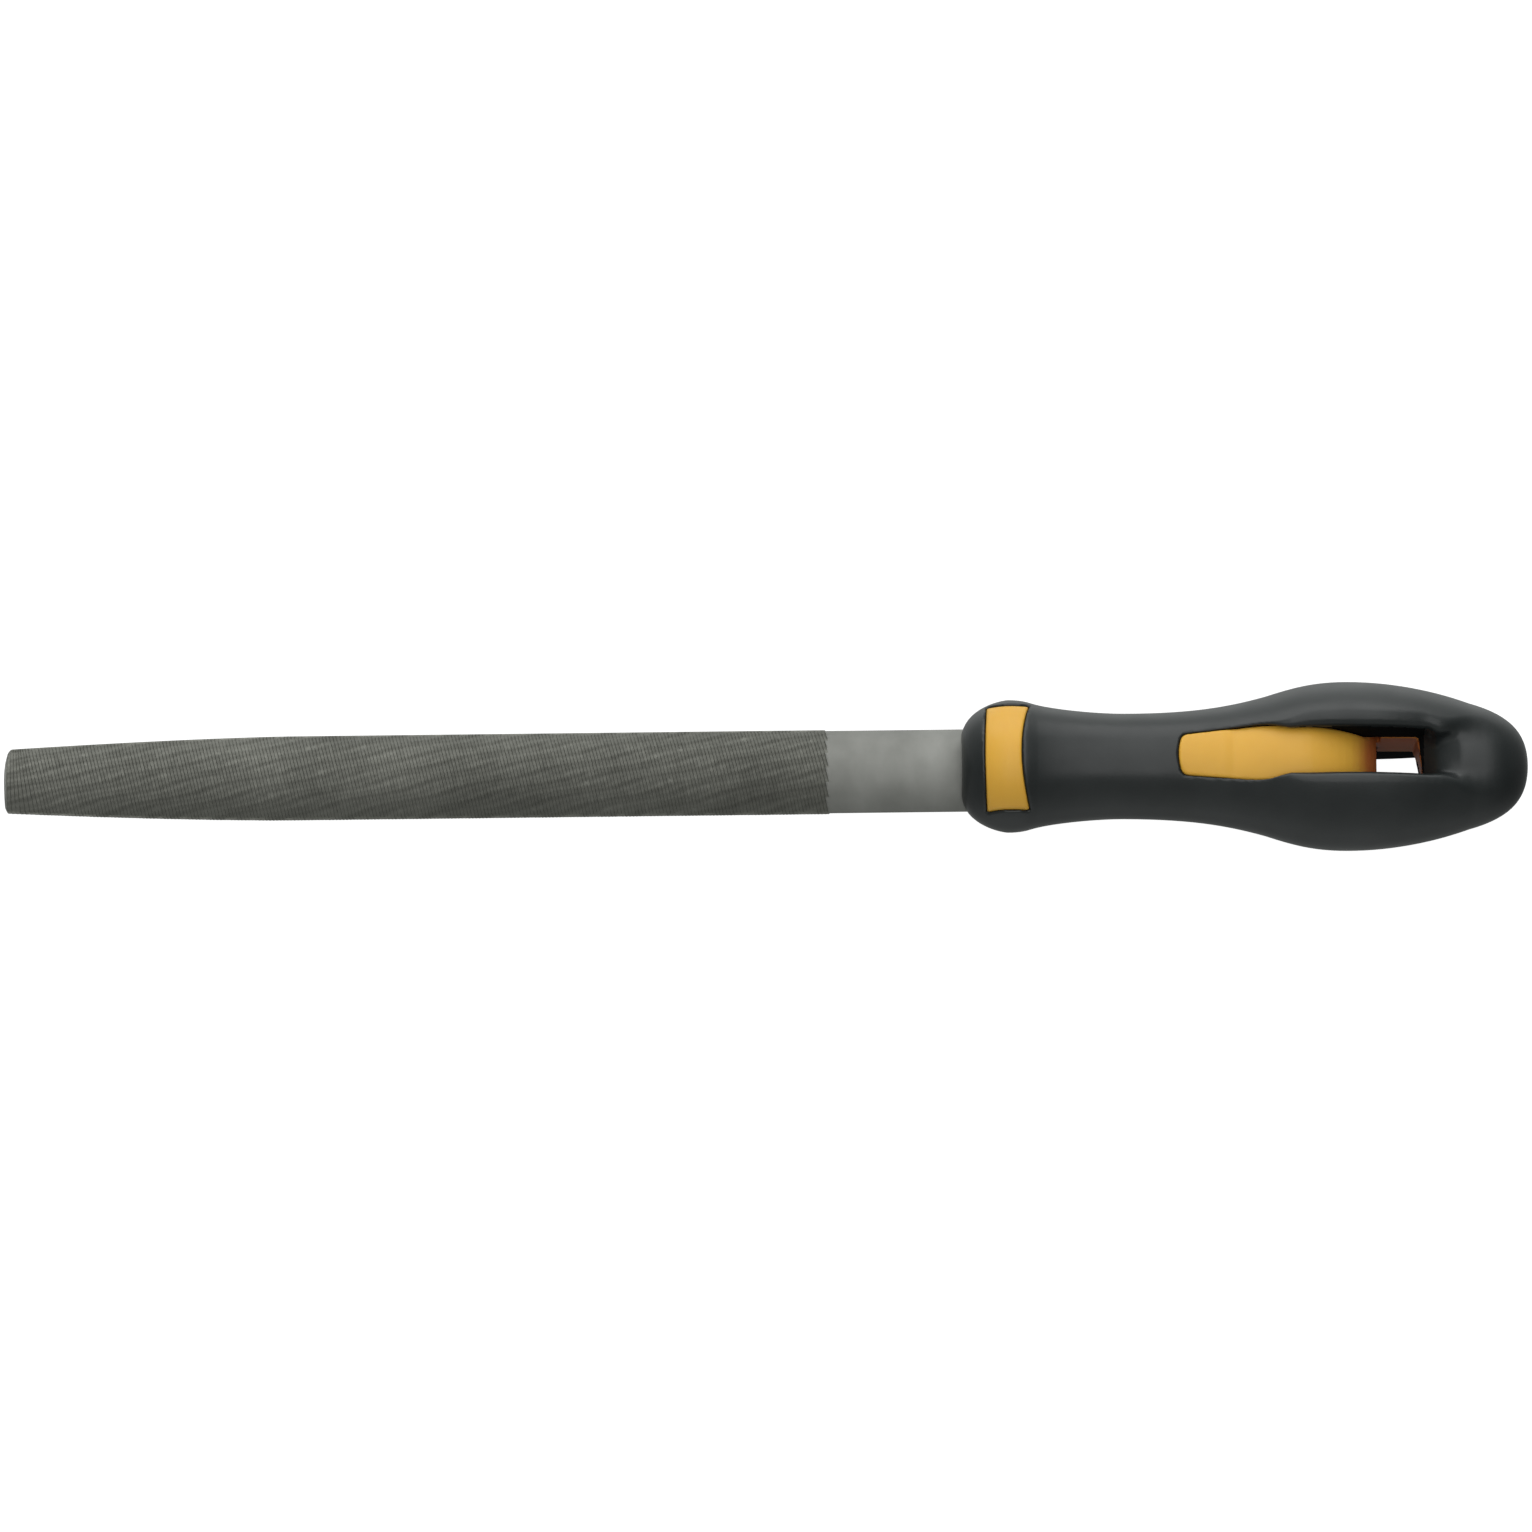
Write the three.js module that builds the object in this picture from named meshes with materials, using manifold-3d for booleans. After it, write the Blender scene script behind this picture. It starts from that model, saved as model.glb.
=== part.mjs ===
// Half-round hand file with a two-component handle, in millimetres, +Z up.
// It lies along X with the tip towards -X and the round side of the blade up. The lips of the lower window,
// at the belly of the handle, are on Z = 0.
// Handle stations are distances behind the handle's front face. Blade stations are distances behind the tip.

import * as THREE from 'three';
import { LoftGeometry } from 'three/addons/geometries/LoftGeometry.js';
import { mergeVertices } from 'three/addons/utils/BufferGeometryUtils.js';
import Module from 'manifold-3d';

const GAP = 0.3;                    // clearance between neighbouring pieces

// Blade, a half-round section: a flat side below, a round side above and a small land along each edge.
const BLADE_LENGTH = 200;
const BLADE_WIDTH = 18;
const BLADE_THICKNESS = 5.8;
const EDGE_LAND = 0.7;
const TIP_WIDTH = 13.6;
const TIP_THICKNESS = 3.7;
const TIP_CORNER = 1.5;
const WIDTH_TAPER_LENGTH = 60;
const THICKNESS_TAPER_LENGTH = 95;
const TAPER_POWER = 1.5;
const CUT_END = 172.5;              // the cut stops here and the smooth heel begins
const HEEL_RELIEF = 0.18;           // the heel is ground this much below the teeth
const FLAT_SIDE_HEIGHT = -3.3;      // flat side, from the handle's axis
const BLADE_YAW = 0.69;             // degrees off the handle's axis
const BLADE_PIVOT = 14;             // the station that the yaw turns about

// Tang, a tapered square spike pressed into the core.
const BLADE_ENTRY = 4;              // the full-width heel runs this far into the handle
const TANG_END = 64;
const TANG_ROOT = { width: 9, height: 4.8 };
const TANG_POINT = { width: 3.2, height: 3 };

// Handle, a body of revolution. Radii of its outline and the stations where they fall.
const HANDLE_LENGTH = 118.3;
const FRONT_RADIUS = 6.7;
const COLLAR = { station: 9.8, radius: 13.86 };
const COLLAR_END = { station: 14.3, radius: 13.25 };
const WAIST = { station: 33.5, radius: 11.03 };
const SHOULDER = { station: 63.5, radius: 14.6 };
const BELLY = { station: 80.5, radius: 17.66 };
const TAIL = { station: 106, radius: 13.2 };
const SIDES = 48;
const OUTLINE_STEPS = 7;

// Core, hidden barrel and rails.
const CORE_FRONT = BLADE_ENTRY + GAP;
const CORE_RADIUS = 8.6;
const CORE_BARREL_END = 68;
const RAIL_HEIGHT = 6;
const RAIL_START = 50;
const RAIL_END = 103.5;
const BRIDGE_HEIGHT = 1.5;
const BRIDGE_START = 98.5;
const RAIL_STEP = { start: 95, end: 96.6 };   // the rails step down to the bridge here
const GRIP_WALL = 2.2;
const PAD_RECESS = 0.12;            // the yellow pads sit this far below the grip
const PAD_FOOT = 3;                 // the pads start at this height inside the barrel

// Collar band.
const BAND_START = 4.6;
const BAND_END_MIDDLE = 12.3;
const BAND_END_SIDE = 14.1;
const BAND_HALF_WIDTH = 11.15;

// Long window, which narrows into the finger valley and ends in the hanging hole.
const WINDOW_START = 44.8;
const WINDOW_START_HALF_WIDTH = 4.3;
const WINDOW_WIDEST = { station: 61, halfWidth: 5.9 };
const VALLEY_START = 68;
const VALLEY_HALF_WIDTH = 4.75;
const HOLE_START = 86.5;
const HOLE_END = 95.6;
const HOLE_HALF_WIDTH = 4.5;
const DIVE_START = { station: 57, height: 13.6 };
const DIVE_CREST = { station: 68, height: 14.6 };
const DIVE_BROW = { station: 82, height: 12.8 };
const WALL_FOOT_HEIGHT = 6.5;
const RAMP_FOOT = { station: 98.8, height: 9.6 };
const RAMP_TOP = { station: 109.5, height: 13.3 };
const RAMP_HALF_WIDTH = 6.4;

const REACH = 30;                   // half-size of cutters, past every face of the handle
const AXIS_HEIGHT = Math.sqrt(BELLY.radius ** 2 - VALLEY_HALF_WIDTH ** 2);
const BLADE_TIP = -BLADE_LENGTH;

const wasm = await Module();
wasm.setup();

// A closed geometry as a solid for joining and cutting.
function toSolid(geometry) {
  const bare = geometry.index ? geometry.toNonIndexed() : geometry.clone();
  bare.deleteAttribute('normal');
  bare.deleteAttribute('uv');
  const merged = mergeVertices(bare, 1e-4);
  const corners = merged.index.array;
  const kept = [];
  for (let i = 0; i < corners.length; i += 3) {
    const [a, b, c] = corners.slice(i, i + 3);
    if (a !== b && b !== c && c !== a) kept.push(a, b, c);
  }
  return new wasm.Manifold(new wasm.Mesh({
    numProp: 3,
    vertProperties: new Float32Array(merged.attributes.position.array),
    triVerts: new Uint32Array(kept),
  }));
}

function toGeometry(solid) {
  const mesh = solid.getMesh();
  const geometry = new THREE.BufferGeometry();
  geometry.setAttribute('position', new THREE.BufferAttribute(mesh.vertProperties, 3));
  geometry.setIndex(new THREE.BufferAttribute(mesh.triVerts, 1));
  geometry.computeVertexNormals();
  return geometry;
}

// A plan outline (station, y) as an upright prism between two heights.
function uprightPrism(shape, low, high) {
  const geometry = new THREE.ExtrudeGeometry(shape, { depth: high - low, bevelEnabled: false, curveSegments: 6 });
  geometry.translate(0, 0, low);
  return toSolid(geometry);
}

// A side outline (station, z) as a prism that runs across the handle.
function crossPrism(shape, halfWidth) {
  const options = { depth: 2 * halfWidth, bevelEnabled: false, curveSegments: 8 };
  const geometry = new THREE.ExtrudeGeometry(shape, options);
  geometry.rotateX(Math.PI / 2);
  geometry.translate(0, halfWidth, 0);
  return toSolid(geometry);
}

function polygon(points) {
  return new THREE.Shape(points.map(([across, up]) => new THREE.Vector2(across, up)));
}

function mirroredInZ(solid) {
  return solid.mirror([0, 0, 1]);
}

// ---- handle outline ----

// The outline as (radius, station), lowered everywhere by `inset`.
function handleOutline(inset) {
  const path = new THREE.Path();
  path.moveTo(FRONT_RADIUS, 0);
  path.bezierCurveTo(12.4, 1.1, COLLAR.radius, 8.4, COLLAR.radius, COLLAR.station);
  path.quadraticCurveTo(COLLAR.radius, 12.4, COLLAR_END.radius, COLLAR_END.station);
  path.bezierCurveTo(12, 18, WAIST.radius, 28, WAIST.radius, WAIST.station);
  path.bezierCurveTo(WAIST.radius, 47.4, 12.33, 55.4, SHOULDER.radius, SHOULDER.station);
  path.bezierCurveTo(16.43, 69.2, BELLY.radius, 73.5, BELLY.radius, BELLY.station);
  path.bezierCurveTo(BELLY.radius, 89.6, 15.9, 98.5, TAIL.radius, TAIL.station);
  path.bezierCurveTo(10.6, 115.4, 6.4, HANDLE_LENGTH, 0, HANDLE_LENGTH);
  const points = path.getPoints(OUTLINE_STEPS);
  return points.map((point) => new THREE.Vector2(Math.max(point.x - inset, 0), point.y));
}

function revolve(points) {
  const profile = [new THREE.Vector2(0, points[0].y), ...points];
  const geometry = new THREE.LatheGeometry(profile, SIDES);
  geometry.rotateZ(-Math.PI / 2);
  return toSolid(geometry);
}

function cylinder(radius, start, end) {
  return revolve([
    new THREE.Vector2(radius, start),
    new THREE.Vector2(radius, end),
    new THREE.Vector2(0, end),
  ]);
}

// Radius of the handle at a station, read off the outline.
function handleRadius(station) {
  const points = handleOutline(0);
  const after = points.findIndex((point) => point.y >= station);
  const [a, b] = [points[after - 1], points[after]];
  return a.x + (b.x - a.x) * (station - a.y) / (b.y - a.y);
}

// ---- windows ----

function bandShape(gap) {
  const half = BAND_HALF_WIDTH - gap;
  const shape = new THREE.Shape();
  shape.moveTo(BAND_START + 0.5 + gap, -half);
  shape.quadraticCurveTo(BAND_START - 0.5 + gap, 0, BAND_START + 0.5 + gap, half);
  shape.lineTo(BAND_END_SIDE - gap, half);
  shape.quadraticCurveTo(2 * BAND_END_MIDDLE - BAND_END_SIDE - gap, 0, BAND_END_SIDE - gap, -half);
  return shape;
}

// Half of the long window's outline from its front end to the hole; the other half mirrors it.
function windowShape(gap, end) {
  const start = WINDOW_START + gap;
  const narrow = WINDOW_START_HALF_WIDTH - gap;
  const widest = WINDOW_WIDEST.halfWidth - gap;
  const valley = VALLEY_HALF_WIDTH - gap;
  const shape = new THREE.Shape();
  shape.moveTo(end, -valley);
  shape.lineTo(end, valley);
  shape.lineTo(VALLEY_START, valley);
  shape.quadraticCurveTo(WINDOW_WIDEST.station + 2, widest, WINDOW_WIDEST.station, widest);
  shape.lineTo(start + 1.6, narrow + 0.2);
  shape.quadraticCurveTo(start + 0.4, narrow, start + 0.2, narrow - 1.2);
  shape.quadraticCurveTo(start - 0.2, 0, start + 0.2, 1.2 - narrow);
  shape.quadraticCurveTo(start + 0.4, -narrow, start + 1.6, -narrow - 0.2);
  shape.lineTo(WINDOW_WIDEST.station, -widest);
  shape.quadraticCurveTo(WINDOW_WIDEST.station + 2, -widest, VALLEY_START, -valley);
  return shape;
}

// Space above the yellow surface where it leaves the handle's outline and dives to the hole.
function diveCutter() {
  const shape = new THREE.Shape();
  shape.moveTo(DIVE_START.station, DIVE_START.height);
  shape.bezierCurveTo(
    DIVE_CREST.station, DIVE_CREST.height,
    DIVE_BROW.station, DIVE_BROW.height,
    HOLE_START, RAIL_HEIGHT,
  );
  shape.lineTo(BRIDGE_START, RAIL_HEIGHT);
  shape.lineTo(BRIDGE_START, REACH);
  shape.lineTo(DIVE_START.station, REACH);
  return crossPrism(shape, REACH);
}

// The steep wall behind the hole and the ramp that rises from it to the butt.
function rampCutter() {
  const side = polygon([
    [HOLE_END - 1, WALL_FOOT_HEIGHT],
    [HOLE_END, WALL_FOOT_HEIGHT],
    [RAMP_FOOT.station, RAMP_FOOT.height],
    [RAMP_TOP.station, RAMP_TOP.height],
    [RAMP_TOP.station, REACH],
    [HOLE_END - 1, REACH],
  ]);
  const plan = new THREE.Shape();
  plan.moveTo(HOLE_END - 1, -VALLEY_HALF_WIDTH);
  plan.lineTo(RAMP_FOOT.station, -VALLEY_HALF_WIDTH);
  plan.quadraticCurveTo(RAMP_TOP.station - 6, -VALLEY_HALF_WIDTH, RAMP_TOP.station, -RAMP_HALF_WIDTH);
  plan.lineTo(RAMP_TOP.station, RAMP_HALF_WIDTH);
  plan.quadraticCurveTo(RAMP_TOP.station - 6, VALLEY_HALF_WIDTH, RAMP_FOOT.station, VALLEY_HALF_WIDTH);
  plan.lineTo(HOLE_END - 1, VALLEY_HALF_WIDTH);
  return crossPrism(side, REACH).intersect(uprightPrism(plan, 0, REACH));
}

// ---- blade ----

// Share of the way down a taper, from 0 where it starts to 1 at the tip.
function taper(station, length) {
  return Math.max(0, 1 - station / length) ** TAPER_POWER;
}

function bladeWidth(station) {
  const full = station < CUT_END ? BLADE_WIDTH : BLADE_WIDTH - 2 * HEEL_RELIEF;
  return full - (BLADE_WIDTH - TIP_WIDTH) * taper(station, WIDTH_TAPER_LENGTH);
}

function bladeThickness(station) {
  const full = station < CUT_END ? BLADE_THICKNESS : BLADE_THICKNESS - HEEL_RELIEF;
  return full - (BLADE_THICKNESS - TIP_THICKNESS) * taper(station, THICKNESS_TAPER_LENGTH);
}

// One half-round section, its arc through both edge lands and the crown, with all of it grown by `grow`.
function bladeSection(station, width, thickness, grow) {
  const steps = 16;
  const half = width / 2 + grow;
  const crown = thickness - EDGE_LAND;
  const radius = (half * half + crown * crown) / (2 * crown);
  const sweep = Math.asin(half / radius);
  const x = BLADE_TIP + station;
  const bottom = FLAT_SIDE_HEIGHT - grow;
  const land = FLAT_SIDE_HEIGHT + EDGE_LAND + grow;
  const section = [new THREE.Vector3(x, half, bottom)];
  for (let i = 0; i <= steps; i++) {
    const angle = sweep * (1 - 2 * i / steps);
    section.push(new THREE.Vector3(x, radius * Math.sin(angle), land + crown - radius * (1 - Math.cos(angle))));
  }
  section.push(new THREE.Vector3(x, -half, bottom));
  return section;
}

function loft(sections) {
  return toSolid(new LoftGeometry(sections, { capStart: true, capEnd: true }));
}

function bladeBody(grow) {
  const stations = [0, 0.3, TIP_CORNER];
  for (let station = 6; station < THICKNESS_TAPER_LENGTH; station += 6) stations.push(station);
  stations.push(CUT_END - 0.3, CUT_END + 0.1, BLADE_LENGTH + BLADE_ENTRY + grow);
  const sections = stations.map((station) => {
    const corner = Math.max(0, TIP_CORNER - station);
    const pulledIn = TIP_CORNER - Math.sqrt(TIP_CORNER ** 2 - corner ** 2);
    return bladeSection(station, bladeWidth(station) - 2 * pulledIn, bladeThickness(station), grow);
  });
  return loft(sections);
}

// The tang starts inside the heel, so that the two join into one forging.
function tang(grow) {
  const start = BLADE_ENTRY - 1;
  const middle = FLAT_SIDE_HEIGHT + BLADE_THICKNESS / 2;
  const corner = (station, size) => [[1, 1], [-1, 1], [-1, -1], [1, -1]].map(([side, up]) => new THREE.Vector3(
    station,
    side * (size.width / 2 + grow),
    middle * (1 - station / TANG_END) + up * (size.height / 2 + grow),
  ));
  return loft([corner(start, TANG_ROOT), corner(TANG_END + grow, TANG_POINT)]);
}

// The whole forging grown by `grow`; the heel and tang sit in the handle at a slight angle to its axis.
function bladeSolid(grow) {
  return bladeBody(grow).add(tang(grow))
    .translate([-BLADE_PIVOT, 0, 0])
    .rotate([0, 0, BLADE_YAW])
    .translate([BLADE_PIVOT, 0, 0]);
}

// ---- core ----

// Rails and bridge in plan, kept inside the grip's wall at the rails' corners.
function railPlan(grow) {
  const steps = 12;
  const side = [];
  for (let i = 0; i <= steps; i++) {
    const station = RAIL_START + (RAIL_END - RAIL_START) * i / steps;
    const reach = handleRadius(station) - GRIP_WALL;
    side.push([station, Math.sqrt(reach ** 2 - RAIL_HEIGHT ** 2) + grow]);
  }
  side[0][0] -= grow;
  side[steps][0] += grow;
  const back = side.map(([station, y]) => [station, -y]).reverse();
  return polygon([...side, ...back].reverse());
}

function railSide(grow) {
  const high = RAIL_HEIGHT + grow;
  const low = BRIDGE_HEIGHT + grow;
  const upper = [
    [RAIL_START - GAP - 1, high],
    [RAIL_STEP.start + grow, high],
    [RAIL_STEP.end + grow, low],
    [RAIL_END + GAP + 1, low],
  ];
  const lower = upper.map(([station, z]) => [station, -z]).reverse();
  return polygon([...upper, ...lower].reverse());
}

function holeCutter(gap) {
  const half = HOLE_HALF_WIDTH - gap;
  const [start, end] = [HOLE_START + gap, BRIDGE_START - gap];
  return uprightPrism(polygon([[start, -half], [end, -half], [end, half], [start, half]]), -REACH, REACH);
}

// Barrel, rails and bridge under the grip, grown by `grow`.
function hiddenCore(grow) {
  const barrel = cylinder(CORE_RADIUS + grow, CORE_FRONT - grow, CORE_BARREL_END + grow);
  const rails = uprightPrism(railPlan(grow), -REACH, REACH).intersect(crossPrism(railSide(grow), REACH));
  return barrel.add(rails).subtract(holeCutter(grow));
}

// The pads that fill the band and the window on one side.
function pads() {
  const skin = revolve(handleOutline(PAD_RECESS));
  const band = uprightPrism(bandShape(GAP), PAD_FOOT, REACH);
  const window = uprightPrism(windowShape(GAP, HOLE_START), PAD_FOOT, REACH);
  return skin.intersect(band.add(window)).subtract(diveCutter());
}

function coreSolid() {
  const upperPads = pads();
  return hiddenCore(0).add(upperPads).add(mirroredInZ(upperPads)).subtract(bladeSolid(GAP));
}

// ---- grip ----

function gripSolid() {
  const ramp = rampCutter();
  const band = uprightPrism(bandShape(0), PAD_FOOT, REACH);
  return revolve(handleOutline(0))
    .subtract(hiddenCore(GAP))
    .subtract(band)
    .subtract(mirroredInZ(band))
    .subtract(uprightPrism(windowShape(0, HOLE_END), -REACH, REACH))
    .subtract(ramp)
    .subtract(mirroredInZ(ramp))
    .subtract(bladeSolid(GAP));
}

// ---- materials ----

function steel() {
  return new THREE.MeshStandardMaterial({ color: 0x6a6b66, roughness: 0.45, metalness: 0.9 });
}

function hardPlastic() {
  return new THREE.MeshStandardMaterial({ color: 0xdca64f, roughness: 0.42, metalness: 0 });
}

function softPlastic() {
  return new THREE.MeshStandardMaterial({ color: 0x34393b, roughness: 0.6, metalness: 0 });
}

// ---- assembly ----

function piece(name, solid, material) {
  const mesh = new THREE.Mesh(toGeometry(solid), material);
  mesh.name = name;
  return mesh;
}

const file = new THREE.Group();
file.position.set((BLADE_LENGTH - HANDLE_LENGTH) / 2, 0, AXIS_HEIGHT);
file.add(piece('file_blade', bladeSolid(0), steel()));
file.add(piece('handle_core', coreSolid(), hardPlastic()));
file.add(piece('soft_grip', gripSolid(), softPlastic()));

export default file;
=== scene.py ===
"""The looks of a half-round hand file with a two-component handle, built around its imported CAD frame.

Shapes are worked out in millimetres in the handle's own axes: station s behind the handle's front face,
y across, z up from the handle's axis. place() moves them into the frame, in metres.
"""

import math

import bpy
import numpy as np
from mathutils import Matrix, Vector


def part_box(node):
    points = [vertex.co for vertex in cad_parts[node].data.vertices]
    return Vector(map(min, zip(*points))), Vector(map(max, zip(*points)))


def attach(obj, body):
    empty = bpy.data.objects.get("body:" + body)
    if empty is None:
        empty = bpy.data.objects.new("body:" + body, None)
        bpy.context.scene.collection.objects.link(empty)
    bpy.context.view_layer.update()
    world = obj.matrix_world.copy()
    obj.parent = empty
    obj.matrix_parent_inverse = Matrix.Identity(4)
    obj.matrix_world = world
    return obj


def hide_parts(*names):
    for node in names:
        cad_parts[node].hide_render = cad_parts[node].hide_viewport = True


MM = 0.001

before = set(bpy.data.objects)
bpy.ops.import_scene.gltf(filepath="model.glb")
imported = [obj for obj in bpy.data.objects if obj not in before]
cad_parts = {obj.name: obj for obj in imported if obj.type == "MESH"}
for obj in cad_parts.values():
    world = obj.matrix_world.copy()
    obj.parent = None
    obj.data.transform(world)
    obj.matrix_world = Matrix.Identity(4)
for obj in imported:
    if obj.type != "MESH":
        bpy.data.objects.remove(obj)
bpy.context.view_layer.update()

grip_low, grip_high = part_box("soft_grip")
blade_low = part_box("file_blade")[0]
FRONT_X = grip_low.x / MM                                  # the handle's front face
AXIS_Z = (grip_low.z + grip_high.z) / 2 / MM               # the handle's axis
HANDLE_LENGTH = (grip_high.x - grip_low.x) / MM
BELLY_RADIUS = (grip_high.y - grip_low.y) / 2 / MM
BLADE_LENGTH = FRONT_X - blade_low.x / MM                  # from tip to handle

# Handle outline: radii and the stations where they fall.
FRONT_RADIUS = 6.7
COLLAR = (9.8, 13.86)
COLLAR_END = (14.3, 13.25)
WAIST = (33.5, 11.03)
SHOULDER = (63.5, 14.6)
BELLY = (80.5, BELLY_RADIUS)
TAIL = (106.0, 13.2)

# Collar band and long window in plan, and the finger valley that ends in the hanging hole.
BAND_START = 4.6
BAND_END_MIDDLE = 12.3
BAND_END_SIDE = 14.1
BAND_HALF_WIDTH = 11.15
WINDOW_START = 44.8
WINDOW_START_HALF_WIDTH = 4.3
WINDOW_WIDEST = (61.0, 5.9)
VALLEY_START = 68.0
VALLEY_HALF_WIDTH = 4.75
VALLEY_LIP_RADII = (2.5, 4.0)                              # along its -Y and +Y sides
VALLEY_LIP_SIDES = (-3.0, 3.0)                             # y where the one gives way to the other
VALLEY_LIP_GROWS = (62.0, 74.0)                            # where the window's edge becomes the lip
VALLEY_LIP_EVENS = (95.0, 101.0)                           # where the +Y lip turns as sharp as the -Y one
LIP_PLAN_HEIGHTS = (11.0, 14.0)                            # heights and stations where its own outline
LIP_PLAN_STATIONS = (60.0, 66.0)                           # takes over from the window's
EDGE_RADIUS = 0.35
PAD_EDGE_RADIUS = 0.4
HOLE_START = 86.5
HOLE_END = 96.2
HOLE_END_SLANT = 1.5                                       # the hole is this much shorter along its +Y side
HOLE_HALF_WIDTH = 4.7
DIVE = ((57.0, 13.6), (68.0, 14.6), (82.5, 13.2), (86.6, 3.6))
DIVE_BLEND = 4.0                                           # softens where the yellow surface starts to dive
DIVE_CROWN = 15.0                                          # radius across the diving surface
DIVE_SIDE_ROOM = 2.5                                       # open space beside it
RAMP_FOOT = (98.8, 9.7)
RAMP_TOP = (108.9, 13.3)
RAMP_CROWN = 11.0                                          # radius across the end of the ramp
RAMP_CROWN_Y = 1.0                                         # and where its crest runs
RAMP_CROWN_GROWS = (100.0, 106.0)
RAMP_FLARE = 0.12                                          # how fast the ramp widens towards the butt
RAMP_FLARE_START = 99.5
RAMP_SIDE_SLOPES = (0.1, 0.3)                              # how fast its two sides close in with depth
RAMP_CORNER_RADII = (1.4, 3.0)                             # floor to sides, at its foot and at its end
RAMP_CORNER_GROWS = (100.5, 107.0)
RAMP_LIP_RADIUS = 3.8
RAMP_LIP_GROWS = (101.0, 108.0)
WALL_FOOT_HEIGHT = 5.5
WALL_BLEND = 1.5                                           # softens where the wall meets the ramp
FLOOR_SCALE = 0.8                                          # from height above the ramp to distance from it

# Core under the grip.
CORE_FRONT = 4.3
CORE_RADIUS = 8.6
CORE_BARREL_END = 68.0
RAIL_START = 50.0
RAIL_HEIGHT = 6.0
RAIL_END = 103.5
RAIL_STEP = (95.0, 96.6)
BRIDGE_HEIGHT = 1.5
CORE_BLEND = 1.0                                           # between the barrel and the rails
CORE_EDGE_RADIUS = 0.2
HOLE_EDGE_RADIUS = 0.12
GRIP_WALL = 2.2
SLOT_WALL_DEPTH = 1.8                                      # the slot's walls are matt, with painted shade, below this depth
SLOT_WALL_START = 60.0
SLOT_WALL_REACH = 0.3                                      # faces this near the slot's wall are part of it
PAD_RECESS = 0.12                                          # of the yellow surfaces under the grip's
PAD_FOOT = 3.0
SEAM = 0.12                                                # line between the two plastics

# Blade and its teeth.
BLADE_WIDTH = 18.0
BLADE_THICKNESS = 5.8
EDGE_LAND = 0.7
TIP_WIDTH = 13.6
TIP_THICKNESS = 3.7
TIP_CORNERS = ((0.9, 1.5), (1.5, 3.6))                     # length and width of the tip's -Y and +Y corners
TIP_CHAMFER = 0.3
CUT_START = 0.5
WIDTH_TAPER_LENGTH = 60.0
THICKNESS_TAPER_LENGTH = 95.0
TAPER_POWER = 1.5
CUT_END = 172.1
HEEL_RELIEF = 0.18
FLAT_SIDE = -3.3
BLADE_YAW = math.radians(0.69)
BLADE_PIVOT = 14.0                                         # the station that the yaw turns about
BLADE_ENTRY = 4.0
TANG_END = 64.0
TANG_ROOT = (9.0, 4.8)
TANG_POINT = (3.2, 3.0)
TANG_SQUARENESS = 1.6                                      # 1 is an oval section, more is squarer
TOOTH_PITCH = 0.73
TOOTH_DEPTH = 0.25
TOOTH_SINK = 1.1                                           # how far teeth are set in, in tooth depths
TOOTH_CREST = 0.24                                         # share of the pitch where a tooth is full height
TOOTH_BACK = 0.6                                           # and where its back has fallen to half
COURSE_WIDTH = 3.07                                        # one pass of the chisel across the round side
TOOTH_LEAN = TOOTH_PITCH / COURSE_WIDTH                    # each course meets the next one tooth on
LEAN_GROWS = (0.0, 7.0)                                    # the grid is square to the blade at its tip
LEAN_FADES = (CUT_END + 4, CUT_END + 14)                   # and again on the heel
LANE_PITCH = 1.25                                          # lanes of teeth climb slowly along the blade
LANE_ANGLE = math.radians(11.5)
LANE_GAP = 0.2                                             # width of the notch between lanes, in lanes
LANE_GAP_DEPTH = 0.5                                       # as a share of the tooth
WAVE_PITCH = 2.95                                          # slow waves in the depth of the cut
WAVE_ANGLE = math.radians(11.5)
WAVE_SHARE = 0.22
CHANCE_SHARE = 0.11                                        # chance differences between strikes
CHANCE_SEED = 7
CHANCE_TABLE = (400, 60)                                   # teeth along the blade and lanes that it covers
ROUND_ROWS = 70                                            # grid rows over the round side
FLAT_ROWS = 40                                             # and under the flat one
TEETH_FADE_RATE = 40                                       # they fade out over 1/40 of the half width
TIP_STEPS = (0.0, 0.1, 0.25)                               # stations of the first columns, before the teeth
HEEL_STEP = 0.8                                            # grid spacing along the heel

REACH = 30.0                                               # well outside the handle


# ---- camera, light and floor ----

def look_at(thing, target):
    direction = Vector(target) - thing.location
    thing.rotation_mode = "QUATERNION"
    thing.rotation_quaternion = direction.to_track_quat("-Z", "Y")


def make_camera():
    """Above the file and a little to its -Y side, square to its length."""
    distance = 1.8
    elevation = math.radians(76)
    target = Vector((0, 0.0001, AXIS_Z * MM))
    data = bpy.data.cameras.new("camera")
    data.sensor_width = 36
    data.lens = 202.4
    camera = bpy.data.objects.new("camera", data)
    bpy.context.scene.collection.objects.link(camera)
    camera.location = target + Vector((0, -math.cos(elevation), math.sin(elevation))) * distance
    look_at(camera, target)
    bpy.context.scene.camera = camera


def area_light(name, location, target, size, watts, colour=(1, 1, 1)):
    data = bpy.data.lights.new(name, "AREA")
    data.shape = "RECTANGLE"
    data.size, data.size_y = size
    data.energy = watts
    data.color = colour
    light = bpy.data.objects.new(name, data)
    bpy.context.scene.collection.objects.link(light)
    light.location = location
    look_at(light, target)


def make_lights():
    area_light("ceiling", (0.0, 0.53, 2.3), (0.0, 0.53, 0), (2.0, 3.9), 35)
    area_light("back_panel", (-0.4, 2.7, 1.2), (0, 0, 0.1), (3.6, 1.9), 37)
    bpy.context.scene.world = make_world()
    bpy.context.scene.view_settings.view_transform = "Standard"


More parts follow.
